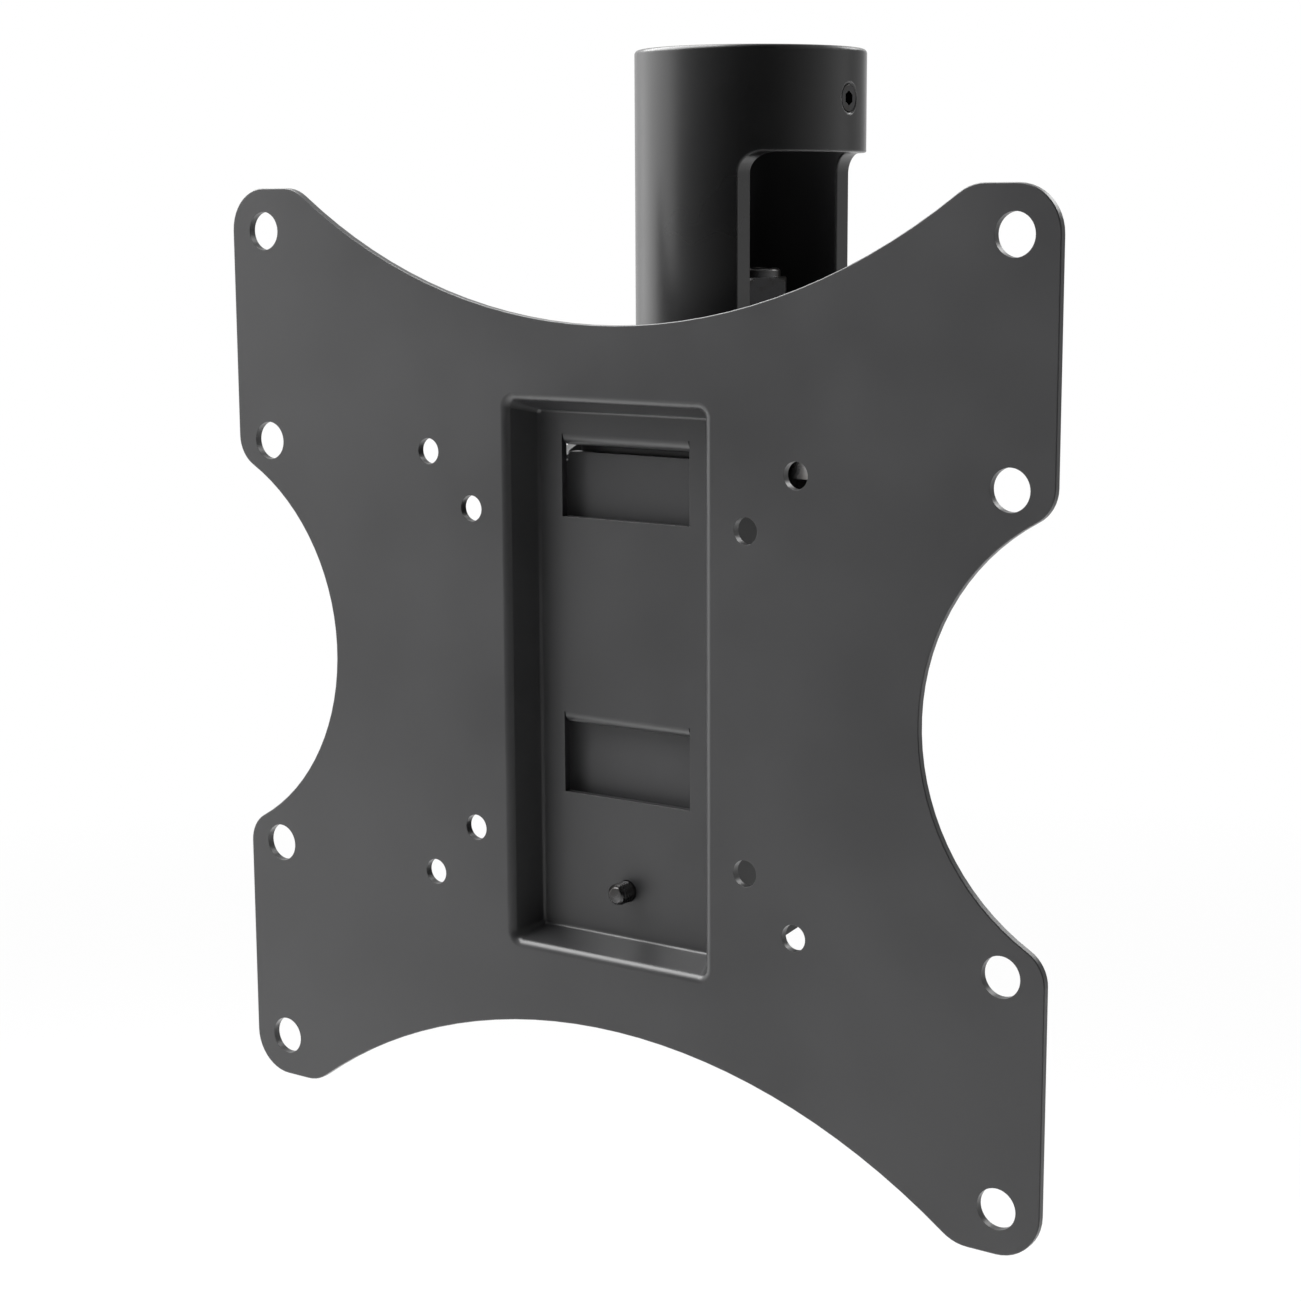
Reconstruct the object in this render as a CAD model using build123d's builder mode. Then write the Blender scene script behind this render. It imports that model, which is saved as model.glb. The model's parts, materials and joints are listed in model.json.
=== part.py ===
from build123d import *
import os
from math import atan2, cos, radians, tan

# Ceiling mount for a flat screen, hung on a round pole.
# Millimetres. +Z is up, -Y faces the screen, +X is the side of the cable window.
# The origin is the centre of the pole socket's mouth, on the pole's axis.

# Layout
plate_reach = 59.1          # pole axis to the front face of the screen plate
plate_drop = 141.0          # socket mouth to the centre of the screen plate
pivot_reach = 15.1          # pole axis to the tilt pivot
pivot_drop = 96.0           # socket mouth to the tilt pivot
lock_drop = 30.0            # tilt pivot to the tilt-lock screws straight below it
tilt_down = 15.0            # degrees that the top of the screen leans out
tilt_up = 5.0               # degrees that the top of the screen leans back

# Clearances
bolt_clearance = 0.25       # round a bolt in a plain hole
pivot_clearance = 0.08      # round a bolt that something turns on
thread_clearance = 0.05     # round a screw in its tapped hole
slot_clearance = 0.3        # beside a screw in a slot
face_play = 0.05            # between flat faces that turn on each other

# Pole socket, a thick-walled casting
pole_bore = 45.3            # takes a 45 mm pole
pole_depth = 22.0           # socket mouth to the ledge that the pole stands on
pole_ledge = 0.5
socket_wall = 4.35
socket_length = 68.0
socket_floor = 6.0
rim_round = 1.0
socket_foot_round = 2.0
window_top = 23.5           # socket mouth to the top of the cable window
window_side = 12.3          # pole axis to the plane that opens the window
window_corner = 4.75
window_edge = 0.4           # rounding of the window's cast edges
grub_drop = 11.5            # socket mouth to the grub screws
grub_sink = 0.3             # grub screw below the socket's outside
grub_length = 4.0
grub_bevel = 0.6            # bevel round the mouths of the tapped holes
grub_bevel_slope = 45.0     # degrees

# Metric fasteners: shank, across the flats, head and nut heights
m5_shank = 5.0
m5_cap = 8.5
m5_cap_bevel = 0.5
m5_head = 5.0
m5_key = 4.0
m5_key_depth = 2.5
m5_washer = 10.0
m5_washer_thickness = 1.0
m6_shank = 6.0
m6_grub_key = 3.0
m6_grub_key_depth = 2.0
m8_shank = 8.0
m8_across = 13.0
m8_head = 5.3
m8_washer = 18.0
m8_washer_thickness = 1.6
m8_weld_nut = 14.0
m8_weld_nut_height = 6.5
m10_shank = 10.0
m10_across = 17.0
m10_head = 6.4
m10_nut = 8.0
m10_nut_collar = 2.0
m10_nut_collar_width = 14.4
m10_washer = 20.0
m10_washer_thickness = 2.0
m10_wide_washer = 24.0
insert_thickness = 2.4
insert_rim = 1.0            # steel round the nylon insert
insert_lip = 0.5            # steel rolled over the top of the insert
collar_round = 0.9
crown_flat = 0.97           # flat crown of a hexagon, as a share of the width across its flats
crown_slope = 60.0          # degrees from the axis to the turned corners
point_bevel = 0.8           # bevel on the ends of bolts and screws
swivel_bolt_length = 25.0
tilt_bolt_length = 65.0
lock_screw_length = 16.0
plate_screw_length = 12.0

# Swivel and tilt
swivel_nylon = 40.0         # friction washer under the socket
swivel_nylon_thickness = 1.5
yoke_sheet = 4.0
yoke_bend = 3.0             # inside radius
yoke_plate_radius = 24.0    # rounded back of the yoke's top
yoke_pivot_radius = 14.0
yoke_lock_radius = 12.0
spacer_length = 33.0        # sets the space between the yoke's cheeks
spacer_width = 16.0
nylon_thickness = 1.0       # friction washers between cheeks and ears
tilt_nylon = 24.0
slide_nylon = 20.0

# Tilt bracket, a folded channel
bracket_sheet = 2.5
bracket_bend = 2.5          # inside radius
ear_pivot_radius = 15.0
ear_shoulder = 48.6         # plate centre to the top front corner of the ears
ear_foot = 65.9             # plate centre to the bottom front corner of the ears
ear_rake = 7.0              # degrees that the bottom edge rises to the back
ear_heel_reach = 34.5       # web to the centre of the rounded heel
ear_heel_radius = 8.0
web_corner = 1.0
tongue_relief = 0.4         # each side of the web above the ears
web_gap = 2.0               # plate floor to web
web_top_gap = 1.7           # web to the upper hook above it

# Screen plate, pressed sheet steel
plate_sheet = 1.8
wide_pitch = 200.0          # corner holes, across and down
mid_pitch = 100.0
small_pitch = 75.0
large_hole = 9.0
small_hole = 6.0
hole_margin = 10.0          # corner holes to the edges of the plate
plate_corner = 10.0
waist_radius = 150.0        # long arcs in the top and bottom edges
waist_height = 160.0        # between the long arcs at their closest
waist_corner = 10.0
flank_radius = 50.0         # short arcs in the side edges
flank_width = 160.0         # between the short arcs at their closest
flank_corner = 8.0
edge_break = 0.25
edge_reach = 0.1            # how near a face an edge lies to be taken with it

# Pressed recess
recess_width = 54.4
recess_height = 126.2
recess_depth = 8.2
recess_corner = 2.0
floor_width = 48.0
floor_height = 120.4
floor_corner = 1.0
mouth_round = 2.0           # front edge of the mouth, struck sharper than a free bend
mouth_bend = 0.6            # inside radius where the sheet turns in
floor_bend = 0.8            # inside radius where it turns to the floor

# Hooks bent out of the floor, and the screw that locks them
hook_seat = 11.6            # plate centre down to the seat of the lower hook
hook_pitch = 64.0
hook_width = 34.5
hook_bend = 0.8             # inside radius
hook_side_gap = 0.25
hook_play = 0.1
hook_lip = 9.0              # underside of the hook to the end of its lip
window_drop = 16.2          # underside of the hook to the foot of its window
slot_play = 2.0             # room to lift the hook out
plate_screw_drop = 49.0     # plate centre to the locking screw
burr_width = 8.0

# Heights of the swivel stack
floor_top = -(socket_length - socket_floor)
yoke_top = -socket_length - swivel_nylon_thickness - face_play
yoke_under = yoke_top - yoke_sheet
lower_washer_top = yoke_under - face_play
swivel_head_seat = lower_washer_top - m10_washer_thickness
swivel_nut_seat = floor_top + m10_washer_thickness

# Half-widths of the tilt stack
cheek_inner = spacer_length / 2
cheek_outer = cheek_inner + yoke_sheet
ear_inner = cheek_outer + nylon_thickness + face_play
ear_outer = ear_inner + bracket_sheet
tilt_washer_seat = ear_outer + face_play
tilt_head_seat = tilt_washer_seat + m10_washer_thickness
lock_head_seat = tilt_washer_seat + m8_washer_thickness

# Depths and heights of plate and bracket
plate_span = wide_pitch + 2 * hole_margin
plate_front = -plate_reach
floor_back = plate_front + recess_depth + plate_sheet
web_front = floor_back + web_gap
web_back = web_front + bracket_sheet
lip_front = web_back + hook_bend + hook_play
pivot_y = -pivot_reach
pivot_z = -pivot_drop
lock_z = pivot_z - lock_drop
lower_hook = -plate_drop - hook_seat
upper_hook = lower_hook + hook_pitch
web_top = upper_hook - web_top_gap
shoulder_z = -plate_drop + ear_shoulder
foot_z = -plate_drop - ear_foot
plate_screw_z = -plate_drop - plate_screw_drop

os.makedirs("parts", exist_ok=True)


def hex_bolt(seat, shank, length, across, head):
    """Hexagon bolt with its head on the seat plane and its shank below it."""
    with BuildPart() as bolt:
        with BuildSketch(seat):
            RegularPolygon(across / 2, 6, major_radius=False)
        extrude(amount=head)
        # corners of the hexagon turned off by a flat cone
        with BuildSketch(seat.offset(head)):
            Circle(crown_flat * across / 2)
        extrude(amount=-head, taper=-crown_slope, mode=Mode.INTERSECT)
        with BuildSketch(seat):
            Circle(shank / 2)
        extrude(amount=-length)
        chamfer(bolt.edges().sort_by(Axis(seat.origin, seat.z_dir))[0], point_bevel)
    return bolt


def lock_nut(seat):
    """Lock nut standing on the seat plane, its collar hollow for a nylon insert."""
    with BuildPart() as nut:
        with BuildSketch(seat):
            RegularPolygon(m10_across / 2, 6, major_radius=False)
        extrude(amount=m10_nut)
        with BuildSketch(seat.offset(m10_nut)):
            Circle(crown_flat * m10_across / 2)
        extrude(amount=-m10_nut, taper=-crown_slope, mode=Mode.INTERSECT)
        with BuildSketch(seat.offset(m10_nut)):
            Circle(m10_nut_collar_width / 2)
        extrude(amount=m10_nut_collar)
        collar = nut.edges().sort_by(Axis(seat.origin, seat.z_dir))[-1]
        fillet(collar, collar_round)
        with BuildSketch(seat):
            Circle(m10_shank / 2 + thread_clearance)
        extrude(amount=m10_nut + m10_nut_collar, mode=Mode.SUBTRACT)
        with BuildSketch(seat.offset(m10_nut + m10_nut_collar - insert_lip)):
            Circle(m10_nut_collar_width / 2 - insert_rim)
        extrude(amount=-insert_thickness, mode=Mode.SUBTRACT)
    return nut


def nut_insert(seat):
    """Nylon ring that fills the hollow of the lock nut on the seat plane."""
    with BuildPart() as ring:
        with BuildSketch(seat.offset(m10_nut + m10_nut_collar - insert_lip)):
            Circle(m10_nut_collar_width / 2 - insert_rim)
            Circle(m10_shank / 2 + thread_clearance / 2, mode=Mode.SUBTRACT)
        extrude(amount=-insert_thickness)
    return ring


def flat_washer(seat, outside, inside, thickness):
    """Flat washer lying on the seat plane."""
    with BuildPart() as washer:
        with BuildSketch(seat):
            Circle(outside / 2)
            Circle(inside / 2, mode=Mode.SUBTRACT)
        extrude(amount=thickness)
    return washer


# Pole socket
socket_radius = pole_bore / 2 + socket_wall
with BuildPart() as pole_socket:
    with BuildSketch(Plane.XY.offset(-socket_length)):
        Circle(socket_radius)
    extrude(amount=socket_length)
    fillet(pole_socket.edges().group_by(Axis.Z)[-1], rim_round)
    fillet(pole_socket.edges().group_by(Axis.Z)[0], socket_foot_round)
    # machined bore down to the ledge, then the chamber as cast
    with BuildSketch(Plane.XY):
        Circle(pole_bore / 2)
    extrude(amount=-pole_depth, mode=Mode.SUBTRACT)
    with BuildSketch(Plane.XY.offset(-pole_depth)):
        Circle(pole_bore / 2 - pole_ledge)
    extrude(amount=floor_top + pole_depth, mode=Mode.SUBTRACT)
    with BuildSketch(Plane.XY.offset(floor_top)):
        Circle(m10_shank / 2 + bolt_clearance)
    extrude(amount=-socket_floor, mode=Mode.SUBTRACT)
    # cable window, opened by one upright plane cut down to the floor
    with BuildSketch(Plane.XZ):
        with Locations((window_side, -window_top)):
            Rectangle(pole_bore, -window_top - floor_top, align=(Align.MIN, Align.MAX))
        fillet(vertices().sort_by(lambda v: v.X - v.Y)[0], window_corner)
    extrude(amount=pole_bore, both=True, mode=Mode.SUBTRACT)
    window_edges = pole_socket.edges().filter_by(
        lambda e: e.center().X > window_side - window_edge
        and floor_top + window_edge < e.center().Z < -pole_depth - window_edge
    )
    fillet(window_edges, window_edge)
    # tapped holes for the two grub screws, with bevelled mouths
    with BuildSketch(Plane.YZ):
        with Locations((0, -grub_drop)):
            Circle(m6_shank / 2 + thread_clearance)
    extrude(amount=pole_bore, both=True, mode=Mode.SUBTRACT)
    for side in (-1, 1):
        with BuildSketch(Plane(origin=(side * socket_radius, 0, -grub_drop), z_dir=(side, 0, 0))):
            Circle(m6_shank / 2 + thread_clearance + grub_bevel)
        extrude(amount=-grub_bevel, taper=grub_bevel_slope, mode=Mode.SUBTRACT)
pole_socket.part.label = "pole_socket"
export_step(pole_socket.part, "parts/pole_socket.step")

# Grub screws that bite on the pole
grub_face = socket_radius - grub_sink
with BuildPart() as pole_grub_screws:
    for side in (-1, 1):
        outer = Plane(origin=(side * grub_face, 0, -grub_drop), z_dir=(side, 0, 0))
        with BuildSketch(outer):
            Circle(m6_shank / 2)
        extrude(amount=-grub_length)
        with BuildSketch(outer):
            RegularPolygon(m6_grub_key / 2, 6, major_radius=False)
        extrude(amount=-m6_grub_key_depth, mode=Mode.SUBTRACT)
pole_grub_screws.part.label = "pole_grub_screws"
export_step(pole_grub_screws.part, "parts/pole_grub_screws.step")

# Swivel stack, clamped through the socket's floor
upper_seat = Plane.XY.offset(floor_top)
nut_seat = Plane.XY.offset(swivel_nut_seat)
head_seat = Plane(origin=(0, 0, swivel_head_seat), z_dir=(0, 0, -1))
swivel_bolt = hex_bolt(head_seat, m10_shank, swivel_bolt_length, m10_across, m10_head)
swivel_bolt.part.label = "swivel_bolt"
export_step(swivel_bolt.part, "parts/swivel_bolt.step")

swivel_lock_nut = lock_nut(nut_seat)
swivel_lock_nut.part.label = "swivel_lock_nut"
export_step(swivel_lock_nut.part, "parts/swivel_lock_nut.step")

swivel_nut_insert = nut_insert(nut_seat)
swivel_nut_insert.part.label = "swivel_nut_insert"
export_step(swivel_nut_insert.part, "parts/swivel_nut_insert.step")

bolt_hole = m10_shank + 2 * bolt_clearance
swivel_upper_washer = flat_washer(upper_seat, m10_washer, bolt_hole, m10_washer_thickness)
swivel_upper_washer.part.label = "swivel_upper_washer"
export_step(swivel_upper_washer.part, "parts/swivel_upper_washer.step")

swivel_lower_washer = flat_washer(
    Plane.XY.offset(swivel_head_seat), m10_washer, bolt_hole, m10_washer_thickness
)
swivel_lower_washer.part.label = "swivel_lower_washer"
export_step(swivel_lower_washer.part, "parts/swivel_lower_washer.step")

swivel_friction_washer = flat_washer(
    Plane.XY.offset(-socket_length - swivel_nylon_thickness), swivel_nylon, bolt_hole, swivel_nylon_thickness
)
swivel_friction_washer.part.label = "swivel_friction_washer"
export_step(swivel_friction_washer.part, "parts/swivel_friction_washer.step")

# Swivel yoke, an inverted channel folded from plate
with BuildPart() as swivel_yoke:
    # folded section, seen from the screen
    with BuildSketch(Plane.XZ):
        with BuildLine():
            FilletPolyline(
                (-cheek_outer + yoke_sheet / 2, lock_z - 2 * yoke_lock_radius),
                (-cheek_outer + yoke_sheet / 2, yoke_top - yoke_sheet / 2),
                (cheek_outer - yoke_sheet / 2, yoke_top - yoke_sheet / 2),
                (cheek_outer - yoke_sheet / 2, lock_z - 2 * yoke_lock_radius),
                radius=yoke_bend + yoke_sheet / 2,
            )
        trace(line_width=yoke_sheet)
    extrude(amount=pivot_reach + 2 * yoke_plate_radius, both=True)
    # outline of the cheeks, seen from the side
    with BuildSketch(Plane.YZ):
        with Locations((pivot_y, pivot_z)):
            Circle(yoke_pivot_radius)
        with Locations((pivot_y, lock_z)):
            Circle(yoke_lock_radius)
        with BuildLine():
            Line((-yoke_plate_radius, yoke_top), (yoke_plate_radius, yoke_top))
        make_hull()
    extrude(amount=cheek_outer, both=True, mode=Mode.INTERSECT)
    # rounded back, seen from above
    with BuildSketch(Plane.XY.offset(yoke_top)):
        Circle(yoke_plate_radius)
        Rectangle(2 * yoke_plate_radius, pivot_reach + yoke_plate_radius, align=(Align.CENTER, Align.MAX))
    extrude(amount=lock_z - yoke_lock_radius - yoke_top, mode=Mode.INTERSECT)
    with BuildSketch(Plane.XY.offset(yoke_top)):
        Circle(m10_shank / 2 + pivot_clearance)
    extrude(amount=-yoke_sheet, mode=Mode.SUBTRACT)
    with BuildSketch(Plane.YZ):
        with Locations((pivot_y, pivot_z)):
            Circle(m10_shank / 2 + bolt_clearance)
        with Locations((pivot_y, lock_z)):
            Circle(m8_shank / 2 + bolt_clearance)
    extrude(amount=cheek_outer, both=True, mode=Mode.SUBTRACT)
swivel_yoke.part.label = "swivel_yoke"
export_step(swivel_yoke.part, "parts/swivel_yoke.step")

# Tilt pivot, one long bolt through ears, cheeks and spacer
head_side = Plane(origin=(-tilt_head_seat, pivot_y, pivot_z), x_dir=(0, 1, 0), z_dir=(-1, 0, 0))
nut_side = Plane(origin=(tilt_head_seat, pivot_y, pivot_z), x_dir=(0, 1, 0), z_dir=(1, 0, 0))
tilt_bolt = hex_bolt(head_side, m10_shank, tilt_bolt_length, m10_across, m10_head)
tilt_bolt.part.label = "tilt_bolt"
export_step(tilt_bolt.part, "parts/tilt_bolt.step")

tilt_lock_nut = lock_nut(nut_side)
tilt_lock_nut.part.label = "tilt_lock_nut"
export_step(tilt_lock_nut.part, "parts/tilt_lock_nut.step")

tilt_nut_insert = nut_insert(nut_side)
tilt_nut_insert.part.label = "tilt_nut_insert"
export_step(tilt_nut_insert.part, "parts/tilt_nut_insert.step")

tilt_head_washer = flat_washer(
    head_side.offset(-m10_washer_thickness), m10_washer, bolt_hole, m10_washer_thickness
)
tilt_head_washer.part.label = "tilt_head_washer"
export_step(tilt_head_washer.part, "parts/tilt_head_washer.step")

tilt_nut_washer = flat_washer(
    nut_side.offset(-m10_washer_thickness), m10_wide_washer, bolt_hole, m10_washer_thickness
)
tilt_nut_washer.part.label = "tilt_nut_washer"
export_step(tilt_nut_washer.part, "parts/tilt_nut_washer.step")

spacer_end = Plane(origin=(-cheek_inner, pivot_y, pivot_z), x_dir=(0, 1, 0), z_dir=(1, 0, 0))
tilt_spacer_tube = flat_washer(spacer_end, spacer_width, bolt_hole, spacer_length)
tilt_spacer_tube.part.label = "tilt_spacer_tube"
export_step(tilt_spacer_tube.part, "parts/tilt_spacer_tube.step")

# Pieces that come once on each side
for side, word in ((-1, "left"), (1, "right")):
    cheek = Plane(origin=(side * cheek_outer, pivot_y, pivot_z), x_dir=(0, 1, 0), z_dir=(side, 0, 0))
    friction_washer = flat_washer(cheek, tilt_nylon, bolt_hole, nylon_thickness)
    friction_washer.part.label = "tilt_friction_washer_" + word
    export_step(friction_washer.part, "parts/tilt_friction_washer_" + word + ".step")

    lower_cheek = Plane(origin=(side * cheek_outer, pivot_y, lock_z), x_dir=(0, 1, 0), z_dir=(side, 0, 0))
    slide_washer = flat_washer(lower_cheek, slide_nylon, m8_shank + 2 * bolt_clearance, nylon_thickness)
    slide_washer.part.label = "tilt_slide_washer_" + word
    export_step(slide_washer.part, "parts/tilt_slide_washer_" + word + ".step")

    lock_seat = Plane(origin=(side * lock_head_seat, pivot_y, lock_z), x_dir=(0, 1, 0), z_dir=(side, 0, 0))
    lock_screw = hex_bolt(lock_seat, m8_shank, lock_screw_length, m8_across, m8_head)
    lock_screw.part.label = "tilt_lock_screw_" + word
    export_step(lock_screw.part, "parts/tilt_lock_screw_" + word + ".step")

    lock_washer = flat_washer(
        lock_seat.offset(-m8_washer_thickness), m8_washer, m8_shank + 2 * bolt_clearance, m8_washer_thickness
    )
    lock_washer.part.label = "tilt_lock_washer_" + word
    export_step(lock_washer.part, "parts/tilt_lock_washer_" + word + ".step")

    inner_cheek = Plane(origin=(side * cheek_inner, pivot_y, lock_z), x_dir=(0, 0, 1), z_dir=(-side, 0, 0))
    with BuildPart() as weld_nut:
        with BuildSketch(inner_cheek):
            RegularPolygon(m8_weld_nut / 2, 6, major_radius=False)
            Circle(m8_shank / 2 + thread_clearance, mode=Mode.SUBTRACT)
        extrude(amount=m8_weld_nut_height)
    weld_nut.part.label = "tilt_weld_nut_" + word
    export_step(weld_nut.part, "parts/tilt_weld_nut_" + word + ".step")

# Tilt bracket, a channel folded from sheet with its web towards the screen
with BuildPart() as tilt_bracket:
    # folded section, seen from above
    heel_y = web_front + ear_heel_reach
    ear_back = max(heel_y + ear_heel_radius, pivot_y + ear_pivot_radius)
    with BuildSketch(Plane.XY.offset(foot_z)):
        with BuildLine():
            FilletPolyline(
                (-ear_outer + bracket_sheet / 2, ear_back),
                (-ear_outer + bracket_sheet / 2, web_front + bracket_sheet / 2),
                (ear_outer - bracket_sheet / 2, web_front + bracket_sheet / 2),
                (ear_outer - bracket_sheet / 2, ear_back),
                radius=bracket_bend + bracket_sheet / 2,
            )
        trace(line_width=bracket_sheet)
    extrude(amount=max(web_top, pivot_z + ear_pivot_radius) - foot_z)
    # outline of the ears, seen from the side
    heel_z = foot_z + ear_heel_reach * tan(radians(ear_rake)) + ear_heel_radius / cos(radians(ear_rake))
    with BuildSketch(Plane.YZ):
        with Locations((pivot_y, pivot_z)):
            Circle(ear_pivot_radius)
        with Locations((heel_y, heel_z)):
            Circle(ear_heel_radius)
        with BuildLine():
            Line((web_front, foot_z), (web_front, shoulder_z))
            Line((web_front, shoulder_z), (web_back, shoulder_z))
        make_hull()
        with Locations((web_front, foot_z)):
            Rectangle(bracket_sheet, web_top - foot_z, align=(Align.MIN, Align.MIN))
    extrude(amount=ear_outer, both=True, mode=Mode.INTERSECT)
    # web above the ears, cut back clear of the bends and rounded at its corners
    with BuildSketch(Plane.XZ.offset(-web_back)):
        with Locations((0, shoulder_z)):
            Rectangle(4 * ear_outer, 2 * ear_pivot_radius, align=(Align.CENTER, Align.MIN))
        with Locations((0, web_top)):
            RectangleRounded(
                2 * (ear_inner - bracket_bend - tongue_relief),
                2 * (web_top - shoulder_z) + 2 * web_corner,
                web_corner,
                align=(Align.CENTER, Align.MAX),
                mode=Mode.SUBTRACT,
            )
    extrude(amount=bracket_sheet, mode=Mode.SUBTRACT)
    # pivot holes and the arc slots that the lock screws run in
    with BuildSketch(Plane.YZ):
        with Locations((pivot_y, pivot_z)):
            Circle(m10_shank / 2 + pivot_clearance)
        with BuildLine(mode=Mode.PRIVATE):
            slot_path = CenterArc((pivot_y, pivot_z), lock_drop, -90 - tilt_down, tilt_down + tilt_up)
        SlotArc(slot_path, m8_shank + 2 * slot_clearance)
    extrude(amount=ear_outer, both=True, mode=Mode.SUBTRACT)
    # slot for the lower hook and hole for the locking screw
    with BuildSketch(Plane.XZ.offset(-web_back)):
        with Locations((0, lower_hook)):
            Rectangle(
                hook_width + 2 * hook_side_gap,
                hook_lip + plate_sheet + slot_play,
                align=(Align.CENTER, Align.MIN),
            )
        with Locations((0, plate_screw_z)):
            Circle(m5_shank / 2 + bolt_clearance)
    extrude(amount=bracket_sheet, mode=Mode.SUBTRACT)
tilt_bracket.part.label = "tilt_bracket"
export_step(tilt_bracket.part, "parts/tilt_bracket.step")

# Screen plate with its pressed recess, hooks and screen holes
face = Plane(origin=(0, plate_front, -plate_drop), x_dir=(1, 0, 0), z_dir=(0, -1, 0))
draft_x = (recess_width - floor_width) / 2 / recess_depth
draft_z = (recess_height - floor_height) / 2 / recess_depth
wall_x = plate_sheet / cos(atan2(draft_x, 1))
wall_z = plate_sheet / cos(atan2(draft_z, 1))
hook_outer_bend = hook_bend + plate_sheet
with BuildPart() as vesa_plate:
    with BuildSketch(face):
        RectangleRounded(plate_span, plate_span, plate_corner)
        with GridLocations(0, waist_height + 2 * waist_radius, 1, 2):
            Circle(waist_radius, mode=Mode.SUBTRACT)
        with GridLocations(flank_width + 2 * flank_radius, 0, 2, 1):
            Circle(flank_radius, mode=Mode.SUBTRACT)
        waist_vertices = vertices().filter_by(
            lambda v: abs(v.X) < plate_span / 2 - plate_corner - edge_break
            and abs(v.Y) > plate_span / 2 - edge_break
        )
        fillet(waist_vertices, waist_corner)
        flank_vertices = vertices().filter_by(
            lambda v: abs(v.Y) < plate_span / 2 - plate_corner - edge_break
            and abs(v.X) > plate_span / 2 - edge_break
        )
        fillet(flank_vertices, flank_corner)
    extrude(amount=-plate_sheet)
    rim_edges = vesa_plate.edges().filter_by(Axis.Y, reverse=True)
    fillet(rim_edges, edge_break)
    # outside of the pressed pan
    with BuildSketch(face):
        RectangleRounded(recess_width + 2 * wall_x, recess_height + 2 * wall_z, recess_corner + plate_sheet)
    with BuildSketch(face.offset(-recess_depth - plate_sheet)):
        RectangleRounded(
            floor_width + 2 * (wall_x - draft_x * plate_sheet),
            floor_height + 2 * (wall_z - draft_z * plate_sheet),
            floor_corner + plate_sheet,
        )
    loft(ruled=True)
    pan_floor_edges = vesa_plate.edges().group_by(Axis.Y)[-1]
    fillet(pan_floor_edges, floor_bend + plate_sheet)
    pan_root_edges = vesa_plate.edges().filter_by(
        lambda e: abs(e.center().Y - plate_front - plate_sheet) < edge_reach
        and abs(e.center().X) < recess_width / 2 + 2 * wall_x
        and abs(e.center().Z + plate_drop) < recess_height / 2 + 2 * wall_z
    )
    fillet(pan_root_edges, mouth_bend)
    # inside of the pan
    with BuildSketch(face):
        RectangleRounded(recess_width, recess_height, recess_corner)
    with BuildSketch(face.offset(-recess_depth)):
        RectangleRounded(floor_width, floor_height, floor_corner)
    loft(ruled=True, mode=Mode.SUBTRACT)
    floor_y = plate_front + recess_depth
    floor_edges = vesa_plate.edges(Select.LAST).filter_by_position(
        Axis.Y, floor_y - edge_reach, floor_y + edge_reach
    )
    fillet(floor_edges, floor_bend)
    mouth_edges = vesa_plate.edges().filter_by(
        lambda e: abs(e.center().Y - plate_front) < edge_reach
        and abs(e.center().X) < recess_width / 2 + edge_reach
        and abs(e.center().Z + plate_drop) < recess_height / 2 + edge_reach
    )
    fillet(mouth_edges, mouth_round)
    # windows in the floor, each with a hook folded back from its top edge
    for hook_z in (lower_hook, upper_hook):
        with BuildSketch(Plane.XZ.offset(-floor_back)):
            with Locations((0, hook_z + hook_outer_bend)):
                Rectangle(
                    hook_width + 2 * hook_side_gap,
                    window_drop + hook_outer_bend,
                    align=(Align.CENTER, Align.MAX),
                )
        extrude(amount=plate_sheet, mode=Mode.SUBTRACT)
        with BuildSketch(Plane.YZ):
            with BuildLine():
                FilletPolyline(
                    (floor_back - plate_sheet / 2, hook_z + 2 * hook_outer_bend),
                    (floor_back - plate_sheet / 2, hook_z + plate_sheet / 2),
                    (lip_front + plate_sheet / 2, hook_z + plate_sheet / 2),
                    (lip_front + plate_sheet / 2, hook_z - hook_lip),
                    radius=hook_bend + plate_sheet / 2,
                )
            trace(line_width=plate_sheet)
        extrude(amount=hook_width / 2, both=True)
    # tapped collar drawn out of the floor, its end seated on the web
    with BuildSketch(Plane.XZ.offset(-web_front)):
        with Locations((0, plate_screw_z)):
            Circle(burr_width / 2)
    extrude(amount=web_gap)
    with BuildSketch(Plane.XZ.offset(-web_front)):
        with Locations((0, plate_screw_z)):
            Circle(m5_shank / 2 + thread_clearance)
    extrude(amount=web_gap + plate_sheet, mode=Mode.SUBTRACT)
    # screen holes
    with BuildSketch(face):
        with GridLocations(wide_pitch, wide_pitch, 2, 2):
            Circle(large_hole / 2)
        with GridLocations(wide_pitch, mid_pitch, 2, 2):
            Circle(large_hole / 2)
        with GridLocations(mid_pitch, mid_pitch, 2, 2):
            Circle(small_hole / 2)
        with GridLocations(small_pitch, small_pitch, 2, 2):
            Circle(small_hole / 2)
    extrude(amount=-plate_sheet, mode=Mode.SUBTRACT)
vesa_plate.part.label = "vesa_plate"
export_step(vesa_plate.part, "parts/vesa_plate.step")

# Locking screw that holds the hooks down, driven from behind
screw_seat = Plane(origin=(0, web_back, plate_screw_z), x_dir=(1, 0, 0), z_dir=(0, 1, 0))
plate_locking_washer = flat_washer(screw_seat, m5_washer, m5_shank + 2 * bolt_clearance, m5_washer_thickness)
plate_locking_washer.part.label = "plate_locking_washer"
export_step(plate_locking_washer.part, "parts/plate_locking_washer.step")

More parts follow.
